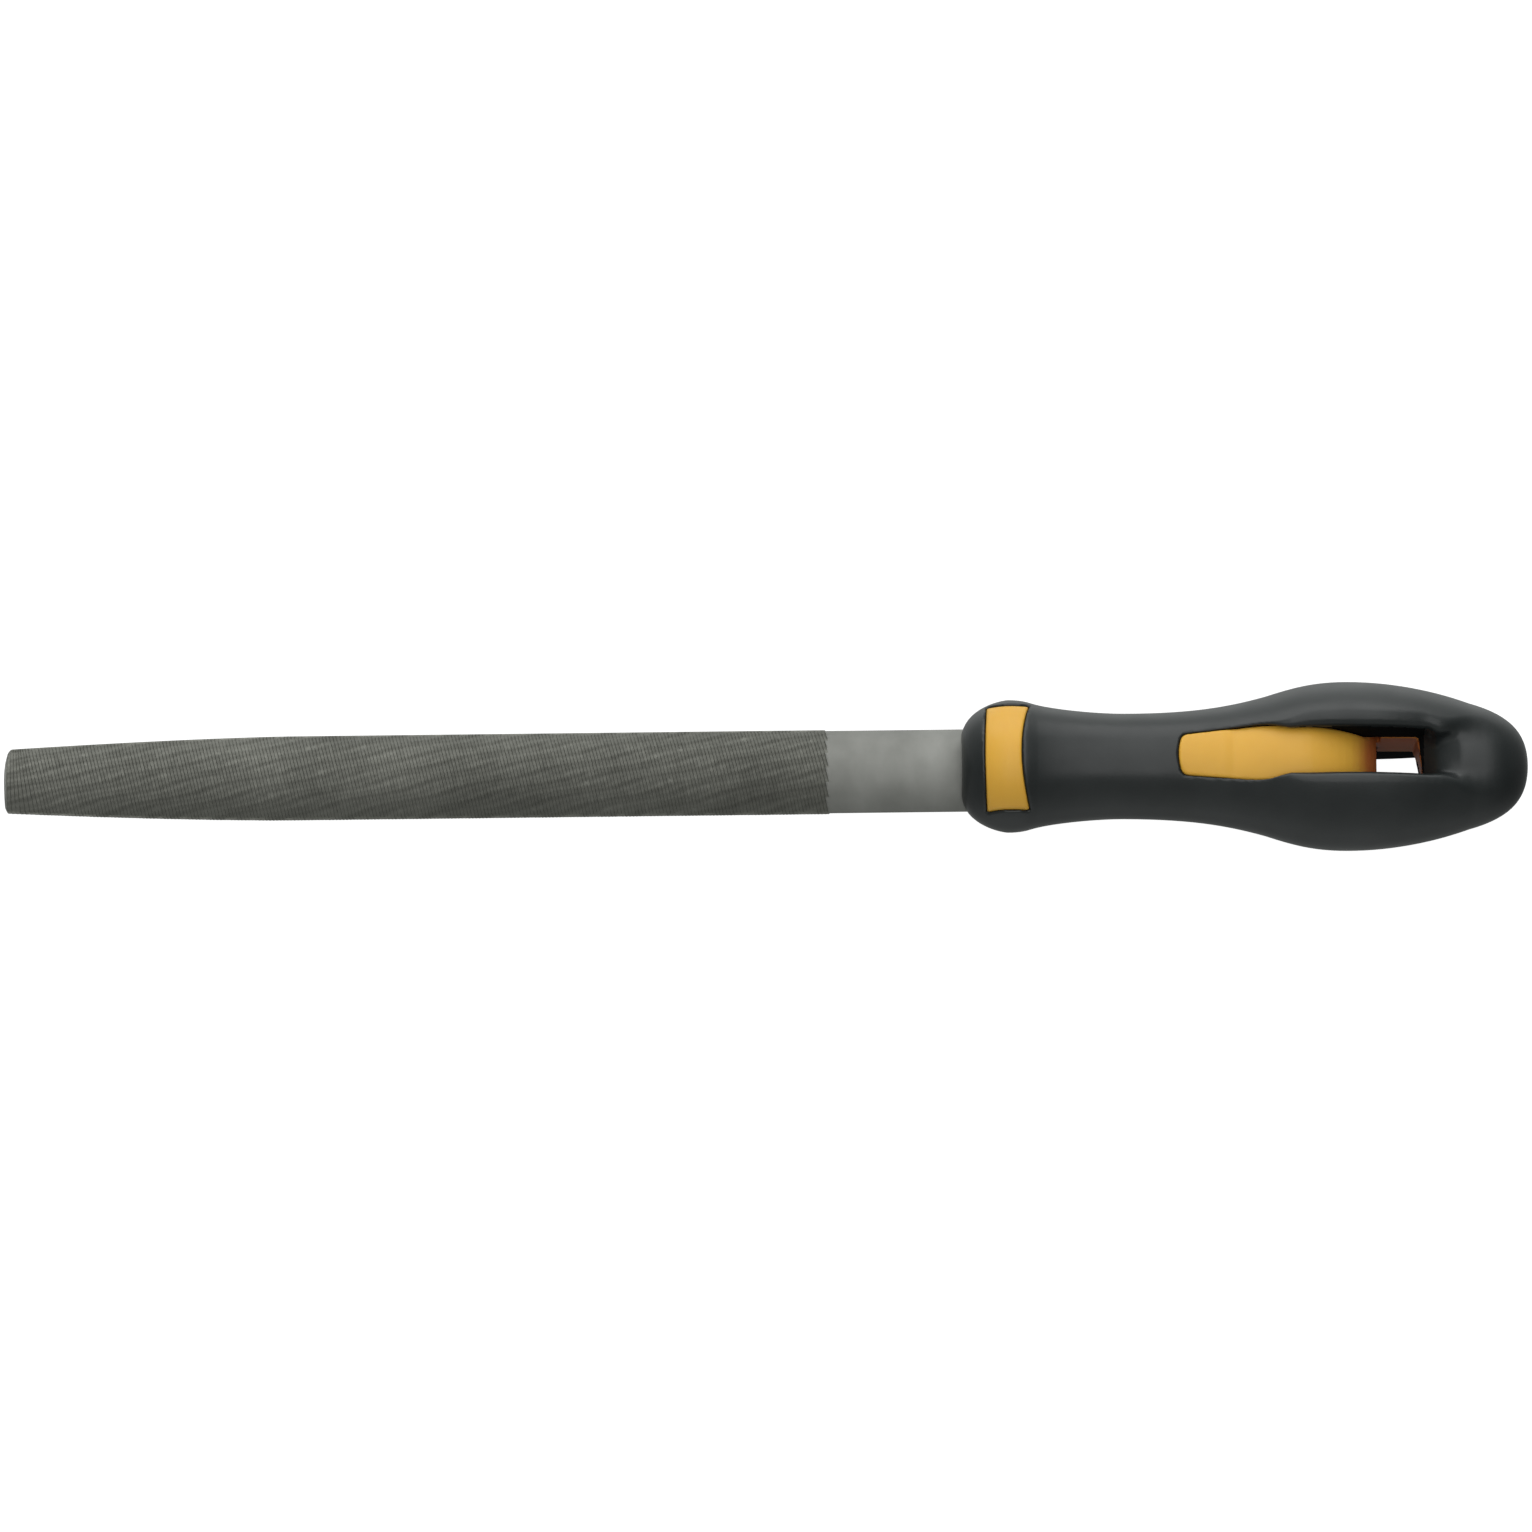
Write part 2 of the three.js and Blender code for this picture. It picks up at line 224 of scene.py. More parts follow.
def make_world():
    """Grey all round, paler behind the file and low down, darker beyond its ends and straight below."""
    world = bpy.data.worlds.new("studio")
    world.use_nodes = True
    nodes, links = world.node_tree.nodes, world.node_tree.links
    direction = nodes.new("ShaderNodeSeparateXYZ")
    links.new(nodes.new("ShaderNodeTexCoord").outputs["Generated"], direction.inputs["Vector"])
    behind = faded(nodes, links, direction.outputs["Y"], (-0.1, 0.7), (0.44, 0.80))
    beyond_butt = faded(nodes, links, direction.outputs["X"], (0.1, 0.9), (1.05, 0.27))
    beyond_tip = faded(nodes, links, direction.outputs["X"], (-0.75, -0.3), (0.5, 1.0))
    low = faded(nodes, links, direction.outputs["Z"], (-0.1, 0.6), (1.4, 1.0))
    below = faded(nodes, links, direction.outputs["Z"], (-0.95, -0.4), (0.4, 1.0))
    ends = product(nodes, links, beyond_butt, beyond_tip)
    sides = product(nodes, links, product(nodes, links, behind, ends), low)
    background = nodes["Background"]
    background.inputs["Color"].default_value = (0.97, 1.0, 0.985, 1)
    links.new(product(nodes, links, sides, below), background.inputs["Strength"])
    return world


def faded(nodes, links, value, start_end, from_to):
    """A number that eases from one level to another as value goes from start to end."""
    node = nodes.new("ShaderNodeMapRange")
    node.interpolation_type = "SMOOTHSTEP"
    node.inputs["From Min"].default_value, node.inputs["From Max"].default_value = start_end
    node.inputs["To Min"].default_value, node.inputs["To Max"].default_value = from_to
    links.new(value, node.inputs["Value"])
    return node.outputs["Result"]


def product(nodes, links, first, second):
    node = nodes.new("ShaderNodeMath")
    node.operation = "MULTIPLY"
    links.new(first, node.inputs[0])
    links.new(second, node.inputs[1])
    return node.outputs["Value"]


def make_floor(material):
    """A pale floor through the lowest points of the blade's tip and the handle's belly."""
    belly = Vector((FRONT_X + BELLY[0], 0, 0)) * MM
    tip = Vector((blade_low.x, 0, (AXIS_Z + FLAT_SIDE) * MM))
    slope = math.atan2(belly.z - tip.z, belly.x - tip.x)
    half = 3.0
    corners = [(-half, -half, 0), (half, -half, 0), (half, half, 0), (-half, half, 0)]
    mesh = bpy.data.meshes.new("floor")
    mesh.from_pydata(corners, [], [(0, 1, 2, 3)])
    mesh.materials.append(material)
    floor = bpy.data.objects.new("floor", mesh)
    bpy.context.scene.collection.objects.link(floor)
    floor.location = belly
    floor.rotation_euler = (0, -slope, 0)
    floor.visible_glossy = False
    floor.visible_diffuse = False


# ---- plane outlines ----

def curve(*points, steps=10):
    """A Bezier curve through its first and last point, without its first point."""
    count = len(points) - 1
    t = np.linspace(0, 1, steps + 1)[1:, None]
    return sum(math.comb(count, i) * (1 - t) ** (count - i) * t ** i * np.array(p)
               for i, p in enumerate(points))


def outline(*stretches):
    """One closed outline from single points and curves."""
    return np.vstack([np.atleast_2d(stretch) for stretch in stretches])


def distance_to(points):
    """Signed distance from a closed outline, negative inside it, as a function of two broadcast arrays."""
    starts = np.asarray(points, float)
    ends = np.roll(starts, -1, axis=0)

    def distance(a, b):
        a, b = np.broadcast_arrays(a, b)
        nearest = np.full(a.shape, np.inf)
        inside = np.zeros(a.shape, bool)
        for (a0, b0), (a1, b1) in zip(starts, ends):
            da, db = a1 - a0, b1 - b0
            along = np.clip(((a - a0) * da + (b - b0) * db) / (da * da + db * db), 0, 1)
            nearest = np.minimum(nearest, (a - a0 - along * da) ** 2 + (b - b0 - along * db) ** 2)
            crosses = (b0 > b) != (b1 > b)
            if db:
                inside ^= crosses & (a < a0 + (b - b0) * da / db)
        return np.where(inside, -1, 1) * np.sqrt(nearest)

    return distance


def tabulated(distance, low, high, step):
    """The same plane distance, read from a table by linear interpolation."""
    a = np.arange(low[0], high[0] + step, step)
    b = np.arange(low[1], high[1] + step, step)
    table = distance(a[:, None], b[None, :])

    def look_up(u, v):
        u, v = np.broadcast_arrays(u, v)
        i = np.clip((u - low[0]) / step, 0, len(a) - 1.001)
        j = np.clip((v - low[1]) / step, 0, len(b) - 1.001)
        i0, j0 = i.astype(int), j.astype(int)
        di, dj = i - i0, j - j0
        near = table[i0, j0] * (1 - dj) + table[i0, j0 + 1] * dj
        far = table[i0 + 1, j0] * (1 - dj) + table[i0 + 1, j0 + 1] * dj
        return near * (1 - di) + far * di

    return look_up


def body_outline():
    """The handle's outline as (station, radius), closed well below its axis."""
    return outline(
        (0, -FRONT_RADIUS),
        (0, FRONT_RADIUS),
        curve((0, FRONT_RADIUS), (1.1, 12.4), (8.4, COLLAR[1]), COLLAR, steps=14),
        curve(COLLAR, (12.4, COLLAR[1]), COLLAR_END, steps=6),
        curve(COLLAR_END, (18, 12.0), (28, WAIST[1]), WAIST),
        curve(WAIST, (47.4, WAIST[1]), (55.4, 12.33), SHOULDER, steps=14),
        curve(SHOULDER, (69.2, 16.43), (73.5, BELLY[1]), BELLY, steps=12),
        curve(BELLY, (89.6, BELLY[1]), (98.5, 15.9), TAIL, steps=14),
        curve(TAIL, (115.4, 10.6), (HANDLE_LENGTH, 6.4), (HANDLE_LENGTH, 0), steps=16),
        curve((HANDLE_LENGTH, 0), (HANDLE_LENGTH, -6.4), (115.4, -10.6), (TAIL[0], -TAIL[1]), steps=8),
    )


def band_outline():
    """The collar band in plan, its two ends curved."""
    half = BAND_HALF_WIDTH
    return outline(
        (BAND_START + 0.5, -half),
        curve((BAND_START + 0.5, -half), (BAND_START - 0.5, 0), (BAND_START + 0.5, half)),
        (BAND_END_SIDE, half),
        curve((BAND_END_SIDE, half), (2 * BAND_END_MIDDLE - BAND_END_SIDE, 0), (BAND_END_SIDE, -half)),
    )


def window_outline(*narrowing):
    """The long window from its front end to the hole, as it narrows to the hole's width along a curve."""
    narrow = WINDOW_START_HALF_WIDTH
    side = outline(
        (WINDOW_START, 0),
        curve((WINDOW_START, 0), (WINDOW_START, 1.6), (WINDOW_START + 0.4, narrow - 1.3), steps=4),
        curve((WINDOW_START + 0.4, narrow - 1.3), (WINDOW_START + 0.7, narrow),
              (WINDOW_START + 2.1, narrow + 0.2), steps=5),
        WINDOW_WIDEST,
        curve(WINDOW_WIDEST, *narrowing),
    )
    across = np.linspace(1, -1, 9) * narrowing[-1][1]
    end = np.stack([hole_end(across), across], axis=1)
    return outline(side, end, side[:0:-1] * (1, -1))


def hole_end(y):
    """Station of the hole's end wall, which comes forward towards its +Y corner."""
    share = np.clip(y / HOLE_HALF_WIDTH, -1, 1) / 2 + 0.5
    return HOLE_END - HOLE_END_SLANT * share ** 2


body = tabulated(distance_to(body_outline()), (-6, 0), (HANDLE_LENGTH + 6, 26), 0.1)
band_plan = distance_to(band_outline())
window_plan = distance_to(window_outline((74, 6.3), (78, 5.4), (84, VALLEY_HALF_WIDTH)))
lip_plan = distance_to(window_outline((WINDOW_WIDEST[0] + 2, WINDOW_WIDEST[1]),
                                      (VALLEY_START, VALLEY_HALF_WIDTH)))


# ---- joining and cutting distance fields, with round fillets ----

def common(a, b, radius):
    """Where both are solid, the edge between them rounded off."""
    corner = np.hypot(np.maximum(a + radius, 0), np.maximum(b + radius, 0))
    return np.minimum(np.maximum(a, b), -radius) + corner


def joined(a, b, radius):
    """Where either is solid, with a fillet between them."""
    return -common(-a, -b, radius)


def cut(a, b, radius):
    """Where a is solid and b isn't."""
    return common(a, -b, radius)


def ease(value, start, end):
    """0 before start, 1 after end, smooth between."""
    t = np.clip((value - start) / (end - start), 0, 1)
    return t * t * (3 - 2 * t)


def between(first, last, share):
    """first at share 0, last at share 1."""
    return first + (last - first) * share


def line_height(s, first, last):
    """Height at station s of the line through two points."""
    return first[1] + (s - first[0]) * (last[1] - first[1]) / (last[0] - first[0])


# ---- handle core ----

def dive_line():
    """Side outline of the space above the yellow surface on its way down to the hole."""
    end = DIVE[-1]
    return outline(
        DIVE[0],
        curve(*DIVE, steps=18),
        (end[0] + 0.6, end[1] - 1.4),
        (end[0] + 0.6, REACH),
        (DIVE[0][0], REACH),
    )


dive_side = distance_to(dive_line())


def rail_half_width(s):
    """As wide as the grip's wall leaves room for."""
    stations = np.linspace(RAIL_START, RAIL_END, 24)
    radii = [-float(body(station, 0)) for station in stations]
    reach = np.array(radii) - GRIP_WALL
    return np.interp(s, stations, np.sqrt(reach ** 2 - RAIL_HEIGHT ** 2))


def hole_gap(s, y):
    """The hole through the core, with its slanted end."""
    return np.maximum(np.maximum(HOLE_START - s, s - hole_end(y)), np.abs(y) - HOLE_HALF_WIDTH)


def hidden_core(s, y, z):
    """The barrel round the tang, the rails beside the hole and the lower bridge behind it."""
    rho = np.hypot(y, z)
    barrel = np.maximum(rho - CORE_RADIUS, np.maximum(CORE_FRONT - s, s - CORE_BARREL_END))
    height = between(RAIL_HEIGHT, BRIDGE_HEIGHT, ease(s, *RAIL_STEP))
    rails = np.maximum(np.abs(y) - rail_half_width(s), np.maximum(RAIL_START - s, s - RAIL_END))
    rails = common(rails, np.abs(z) - height, EDGE_RADIUS)
    return joined(barrel, rails, CORE_BLEND)


def core_field(s, y, z):
    """The whole core: its hidden part, the collar band's pads and the long window's."""
    rho = np.hypot(y, z)
    skin = body(s, rho) + PAD_RECESS
    foot = PAD_FOOT - np.abs(z)
    band = common(skin, np.maximum(band_plan(s, y) + SEAM, foot), PAD_EDGE_RADIUS)
    crowned = np.abs(z) + y * y / (2 * DIVE_CROWN)
    dive_room = np.maximum(dive_side(s, crowned), np.abs(y) - HOLE_HALF_WIDTH - DIVE_SIDE_ROOM)
    window = np.maximum(np.maximum(window_plan(s, y) + SEAM, foot), s - HOLE_START)
    window = common(cut(skin, dive_room, DIVE_BLEND), window, PAD_EDGE_RADIUS)
    hidden = cut(hidden_core(s, y, z), dive_room, CORE_EDGE_RADIUS)
    solid = cut(np.minimum(hidden, np.minimum(band, window)), hole_gap(s, y), HOLE_EDGE_RADIUS)
    return np.maximum(solid, -blade_space(s, y, z))


# ---- grip ----

def blade_space(s, y, z):
    """The pocket that the heel and the tang sit in."""
    cos, sin = math.cos(BLADE_YAW), math.sin(BLADE_YAW)
    s, y = BLADE_PIVOT + (s - BLADE_PIVOT) * cos + y * sin, y * cos - (s - BLADE_PIVOT) * sin
    half = BLADE_WIDTH / 2 - HEEL_RELIEF
    crown = BLADE_THICKNESS - HEEL_RELIEF - EDGE_LAND
    radius = (half ** 2 + crown ** 2) / (2 * crown)
    centre = FLAT_SIDE + EDGE_LAND + crown - radius
    heel = np.maximum(np.hypot(y, z - centre) - radius, FLAT_SIDE - z)
    heel = np.maximum(np.maximum(heel, np.abs(y) - half), s - BLADE_ENTRY)
    share = np.clip(s / TANG_END, 0, 1)
    width, height, middle = tang_size(share)
    tang = np.maximum(np.maximum(np.abs(y) - width / 2, np.abs(z - middle) - height / 2), s - TANG_END)
    return np.minimum(heel, tang) - SEAM


def tang_size(share):
    """Width, height and middle height of the tang, at a share of its length."""
    width = between(TANG_ROOT[0], TANG_POINT[0], share)
    height = between(TANG_ROOT[1], TANG_POINT[1], share)
    middle = (FLAT_SIDE + BLADE_THICKNESS / 2) * (1 - share)
    return width, height, middle


def valley(s, y, z):
    """The window, the finger valley, the hole and the ramp as one open space."""
    height = np.abs(z)
    lip = ease(height, *LIP_PLAN_HEIGHTS) * ease(s, *LIP_PLAN_STATIONS)
    slot = window_plan(s, y) * (1 - lip) + lip_plan(s, y) * lip
    half = VALLEY_HALF_WIDTH + RAMP_FLARE * np.maximum(0, s - RAMP_FLARE_START)
    slope = np.where(y < 0, *RAMP_SIDE_SLOPES) * ease(s, HOLE_END, RAMP_FOOT[0])
    closing = slope * body(s, np.hypot(y, z))
    side = np.abs(y) - half - closing
    corner_radius = between(*RAMP_CORNER_RADII, ease(s, *RAMP_CORNER_GROWS))
    scoop = common(side, (ramp_floor(s, y) - height) * FLOOR_SCALE, corner_radius)
    scoop = np.maximum(scoop, HOLE_START - s)
    return np.minimum(slot, scoop)


def ramp_floor(s, y):
    """Height of the steep wall behind the hole and of the ramp after it."""
    wall = line_height(s, (hole_end(y) - 0.1, WALL_FOOT_HEIGHT), RAMP_FOOT)
    slope = line_height(s, RAMP_FOOT, RAMP_TOP)
    crown = ease(s, *RAMP_CROWN_GROWS) * (y - RAMP_CROWN_Y) ** 2 / (2 * RAMP_CROWN)
    return (wall + slope - np.sqrt((wall - slope) ** 2 + WALL_BLEND ** 2)) / 2 - crown


def lip_radius(s, y):
    """How round the window's edge, the valley's lips and the ramp's end are."""
    side = ease(y, *VALLEY_LIP_SIDES) * (1 - ease(s, *VALLEY_LIP_EVENS))
    valley_lip = between(*VALLEY_LIP_RADII, side)
    lip = between(EDGE_RADIUS, valley_lip, ease(s, *VALLEY_LIP_GROWS))
    return lip + (RAMP_LIP_RADIUS - valley_lip) * ease(s, *RAMP_LIP_GROWS)


def grip_field(s, y, z):
    """The grip: the handle's body less the band, the valley, the core and the blade's pocket."""
    solid = body(s, np.hypot(y, z))
    foot = PAD_FOOT - np.abs(z)
    solid = cut(solid, np.maximum(band_plan(s, y), foot), EDGE_RADIUS)
    solid = cut(solid, valley(s, y, z), lip_radius(s, y))
    solid = np.maximum(solid, SEAM - hidden_core(s, y, z))
    return np.maximum(solid, -blade_space(s, y, z))


# ---- from a distance field to a mesh ----

CELL_CORNERS = [(i, j, k) for i in (0, 1) for j in (0, 1) for k in (0, 1)]


def graded(stretches):
    """Grid lines: each stretch is (start, end, spacing)."""
    lines = [stretches[0][0]]
    for start, end, spacing in stretches:
        count = max(1, round((end - start) / spacing))
        lines.extend(np.linspace(start, end, count + 1)[1:])
    return np.array(lines)


def mirrored(stretches):
    """The same stretches on both sides of zero."""
    return [(-end, -start, spacing) for start, end, spacing in reversed(stretches)] + stretches


def gradient(field, points, step=0.02):
    """The field's slope along each axis."""
    parts = []
    for axis in range(3):
        shift = np.zeros(3)
        shift[axis] = step
        parts.append((field(*(points + shift).T) - field(*(points - shift).T)) / (2 * step))
    return np.stack(parts, axis=1)


def settle(field, points, rounds=3, longest_move=0.3):
    """Moves points on to the surface where the field is 0."""
    for _ in range(rounds):
        slope = gradient(field, points)
        size = np.maximum((slope ** 2).sum(1), 0.1)
        move = (field(*points.T) / size)[:, None] * slope
        length = np.linalg.norm(move, axis=1, keepdims=True)
        points = points - move * np.minimum(1, longest_move / np.maximum(length, 1e-9))
    return points


def surface(field, lines):
    """Surface net: a point in every grid cell that the surface crosses, a face for every crossed edge."""
    values = field(*np.meshgrid(*lines, indexing="ij", sparse=True))
    cells = crossed_cells(values < 0)
    points = settle(field, cell_points(values, lines, cells))
    return points, edge_faces(values < 0, cells)


def crossed_cells(inside):
    """Indices of the grid cells with corners on both sides of the surface."""
    counts = np.array(inside.shape) - 1
    total = sum(inside[i:i + counts[0], j:j + counts[1], k:k + counts[2]].astype(int)
                for i, j, k in CELL_CORNERS)
    return np.argwhere((total > 0) & (total < len(CELL_CORNERS)))


def cell_points(values, lines, cells):
    """The mean of the points where each cell's edges cross the surface."""
    inside = values < 0
    summed = np.zeros((len(cells), 3))
    hits = np.zeros((len(cells), 1))
    for first in CELL_CORNERS:
        for axis in range(3):
            if first[axis]:
                continue
            last = tuple(1 if i == axis else c for i, c in enumerate(first))
            at = tuple((cells + first).T)
            to = tuple((cells + last).T)
            crossed = (inside[at] != inside[to])[:, None]
            share = np.where(crossed[:, 0], values[at] / (values[at] - values[to] + 1e-30), 0)[:, None]
            a = np.stack([lines[i][at[i]] for i in range(3)], axis=1)
            b = np.stack([lines[i][to[i]] for i in range(3)], axis=1)
            summed += np.where(crossed, a + (b - a) * share, 0)
            hits += crossed
    return summed / hits


def edge_faces(inside, cells):
    """A four-sided face round every grid edge that crosses the surface, turned outwards."""
    counts = np.array(inside.shape) - 1
    number = np.full(counts, -1)
    number[tuple(cells.T)] = np.arange(len(cells))
    faces = []
    for axis in range(3):
        u, v = [i for i in range(3) if i != axis]
        upper = [slice(1, None) if i == axis else slice(None) for i in range(3)]
        lower = [slice(None, -1) if i == axis else slice(None) for i in range(3)]
        edges = np.argwhere(inside[tuple(lower)] != inside[tuple(upper)])
        edges = edges[(edges[:, u] > 0) & (edges[:, v] > 0)]
        edges = edges[(edges[:, u] < counts[u]) & (edges[:, v] < counts[v])]
        quad = []
        for du, dv in ((1, 1), (0, 1), (0, 0), (1, 0)):
            cell = edges.copy()
            cell[:, u] -= du
            cell[:, v] -= dv
            quad.append(number[tuple(cell.T)])
        quad = np.stack(quad, axis=1)
        turns_back = axis == 1                                 # u, v and the axis are left-handed for Y
        outward = inside[tuple(edges.T)] ^ turns_back
        faces.append(np.where(outward[:, None], quad, quad[:, ::-1]))
    return np.vstack(faces)


def place(points):
    """From handle axes in millimetres to the frame in metres."""
    return (np.asarray(points) + (FRONT_X, 0, AXIS_Z)) * MM


def make_piece(name, points, faces, materials, node):
    """A smooth mesh that stands for one CAD node."""
    mesh = bpy.data.meshes.new(name)
    mesh.from_pydata(place(points).tolist(), [], [list(map(int, face)) for face in faces])
    mesh.validate()
    for material in materials:
        mesh.materials.append(material)
    mesh.polygons.foreach_set("use_smooth", [True] * len(mesh.polygons))
    piece = bpy.data.objects.new(name, mesh)
    bpy.context.scene.collection.objects.link(piece)
    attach(piece, "root")
    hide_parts(node)
    return piece


def make_grip(skin, inside):
    along = graded([(-1, 16, 0.42), (16, 44, 0.7), (44, 48, 0.4), (48, 66, 0.6), (66, 104, 0.45),
                    (104, 119.5, 0.5)])
    across = graded(mirrored([(0, 3.5, 0.5), (3.5, 7.5, 0.35), (7.5, 18.5, 0.6)]))
    up = graded(mirrored([(0, 5.2, 0.74), (5.2, 7, 0.3), (7, 18.5, 0.45)]))
    points, faces = surface(grip_field, (along, across, up))
    piece = make_piece("soft_grip_skin", points, faces, [skin, inside], "soft_grip")
    # Faces deep on the slot's walls take the second material, which is matt and darkened with painted
    # shade.
    s, y, z = points[faces].mean(1).T
    deep = (body(s, np.hypot(y, z)) < -SLOT_WALL_DEPTH) & (s > SLOT_WALL_START) & (s < HOLE_END)
    on_wall = np.abs(valley(s, y, z)) < SLOT_WALL_REACH
    piece.data.polygons.foreach_set("material_index", (deep & on_wall).astype(np.int32))


def make_core(material):
    along = graded([(3, 16, 0.35), (16, 44, 1.0), (44, 88, 0.4), (88, 105, 0.5)])
    across = graded(mirrored([(0, 3.6, 0.5), (3.6, 6.4, 0.3), (6.4, 15.5, 0.6)]))
    up = graded(mirrored([(0, 5.4, 0.6), (5.4, 6.6, 0.3), (6.6, 15.5, 0.4)]))
    points, faces = surface(core_field, (along, across, up))
    make_piece("handle_core_body", points, faces, [material], "handle_core")


# ---- blade ----

def taper(station, length):
    """1 at the tip, 0 where the taper ends."""
    return np.maximum(0, 1 - station / length) ** TAPER_POWER


def blade_size(station):
    """Width and thickness of the body that the teeth stand on, before the heel's relief."""
    width = between(BLADE_WIDTH, TIP_WIDTH, taper(station, WIDTH_TAPER_LENGTH))
    thickness = between(BLADE_THICKNESS, TIP_THICKNESS, taper(station, THICKNESS_TAPER_LENGTH))
    return width, thickness


def blade_columns():
    """Stations of the blade's grid lines: three to a tooth where it is cut, then wider on the heel."""
    teeth = int((CUT_END + 3 * TOOTH_PITCH - CUT_START) / TOOTH_PITCH)
    phases = (0.0, TOOTH_CREST, TOOTH_BACK)
    cut_part = [CUT_START + (i + phase) * TOOTH_PITCH for i in range(teeth) for phase in phases]
    heel_part = np.arange(cut_part[-1] + HEEL_STEP, BLADE_LENGTH + BLADE_ENTRY - 0.5, HEEL_STEP)
    return np.concatenate([TIP_STEPS, cut_part, heel_part, [BLADE_LENGTH + BLADE_ENTRY]])


def blade_ring():
    """Across the section, from the +Y edge over the round side and back under the flat side.
    Returns each row's share of the half width or sweep, and whether it is on the round side."""
    over = np.linspace(1, -1, ROUND_ROWS + 1)
    under = np.linspace(-1, 1, FLAT_ROWS + 1)
    share = np.concatenate([over, under])
    is_round = np.arange(len(share)) <= ROUND_ROWS
    return share, is_round


def rounded_off(station, length, width):
    """How far an elliptical corner draws the outline in, at a distance from the tip's face."""
    left = np.clip(1 - station / length, 0, 1)
    return width * (1 - np.sqrt(1 - left ** 2))


def section_points(station, share, is_round, relief):
    """Points of the half-round section with their outward directions in the y, z plane."""
    width, thickness = blade_size(station)
    corner = np.where(share < 0, *[rounded_off(station, *size) for size in TIP_CORNERS])
    chamfer = np.maximum(0, TIP_CHAMFER - station) + relief
    half = width / 2 - relief - corner
    crown = thickness - EDGE_LAND - chamfer
    radius = (half ** 2 + crown ** 2) / (2 * crown)
    angle = np.arcsin(half / radius) * share
    y = np.where(is_round, radius * np.sin(angle), half * share)
    z_round = FLAT_SIDE + EDGE_LAND + crown - radius * (1 - np.cos(angle))
    z = np.where(is_round, z_round, FLAT_SIDE + chamfer)
    out_y = np.where(is_round, np.sin(angle), 0)
    out_z = np.where(is_round, np.cos(angle), -1)
    return y, z, out_y, out_z


def tooth_height(station, y):
    """Height of the cut surface, near zero at the tips of the teeth: a row of teeth every pitch, parted
    into lanes, with slow waves and small chance differences in their depth."""
    phase = ((station - CUT_START) / TOOTH_PITCH) % 1
    rise = np.interp(phase, [0, TOOTH_CREST, TOOTH_BACK, 1], [0, 1, 0.5, 0])
    x = station - y * TOOTH_LEAN
    wander = 0.25 * np.sin(x / 7 + y)
    lane = (y * math.cos(LANE_ANGLE) - x * math.sin(LANE_ANGLE)) / LANE_PITCH + wander
    notch = np.exp(-((lane % 1 - 0.5) / LANE_GAP) ** 2)
    bend = 0.3 * np.sin(x / 23) + 0.2 * np.sin(x / 9.1 + y / 5)
    wave = np.sin(2 * math.pi * (y * math.cos(WAVE_ANGLE) - x * math.sin(WAVE_ANGLE) + bend) / WAVE_PITCH)
    chance = np.random.default_rng(CHANCE_SEED).standard_normal(CHANCE_TABLE)
    tooth = np.clip(((station - CUT_START) / TOOTH_PITCH).astype(int), 0, CHANCE_TABLE[0] - 1)
    strike = chance[np.broadcast_to(tooth, lane.shape), (np.floor(lane) % CHANCE_TABLE[1]).astype(int)]
    depth = TOOTH_DEPTH * (1 + WAVE_SHARE * wave + CHANCE_SHARE * strike)
    return depth * rise * (1 - LANE_GAP_DEPTH * notch) - TOOTH_DEPTH * TOOTH_SINK


def blade_surface():
    """Points of every ring of the blade, and which of them are cut into teeth."""
    columns = blade_columns()
    share, is_round = blade_ring()
    station = columns[:, None]
    sheared = (ease(columns, *LEAN_GROWS) * (1 - ease(columns, *LEAN_FADES)))[:, None]
    y0 = section_points(station, share, is_round, 0)[0]
    at = station - y0 * TOOTH_LEAN * sheared
    course = np.floor(y0 / COURSE_WIDTH)
    cut_here = (station < CUT_END + (course + 0.5) * TOOTH_PITCH) & (station >= CUT_START)
    y, z, out_y, out_z = section_points(at, share, is_round, np.where(cut_here, 0, HEEL_RELIEF))
    near_edge = np.where(is_round, ease((1 - np.abs(share)) * TEETH_FADE_RATE, 0, 1), 1)
    height = np.where(cut_here, tooth_height(station, y) * near_edge, 0)
    points = np.stack([at - BLADE_LENGTH + 0 * y, y + out_y * height, z + out_z * height], axis=2)
    return points, cut_here


def tang_rings(row_count):
    """Rings that close the heel's shoulder and run down the tang to its point."""
    angle = np.linspace(0, 2 * math.pi, row_count, endpoint=False)
    rings = []
    corner_y = np.clip(TANG_SQUARENESS * np.cos(angle), -1, 1)
    corner_z = np.clip(TANG_SQUARENESS * np.sin(angle), -1, 1)
    for s in (BLADE_ENTRY, BLADE_ENTRY + 0.3, *range(12, 61, 8), TANG_END - 0.4, TANG_END):
        width, height, middle = tang_size(s / TANG_END)
        y = corner_y * width / 2
        z = middle + corner_z * height / 2
        rings.append(np.stack([np.full(row_count, float(s)), y, z], axis=1))
    return np.array(rings)


def closed_tube(rings):
    """Points and faces of a tube of rings, each end closed by a fan round its middle. Fans come last."""
    index = np.arange(rings.shape[0] * rings.shape[1]).reshape(rings.shape[:2])
    following = np.roll(index, -1, axis=1)
    quads = np.stack([index[:-1], index[1:], following[1:], following[:-1]], axis=-1).reshape(-1, 4)
    first_middle, last_middle = index.size, index.size + 1
    faces = quads.tolist()
    faces += [(a, b, first_middle) for a, b in zip(index[0], following[0])]
    faces += [(b, a, last_middle) for a, b in zip(index[-1], following[-1])]
    points = np.vstack([rings.reshape(-1, 3), rings[0].mean(0), rings[-1].mean(0)])
    return points, faces


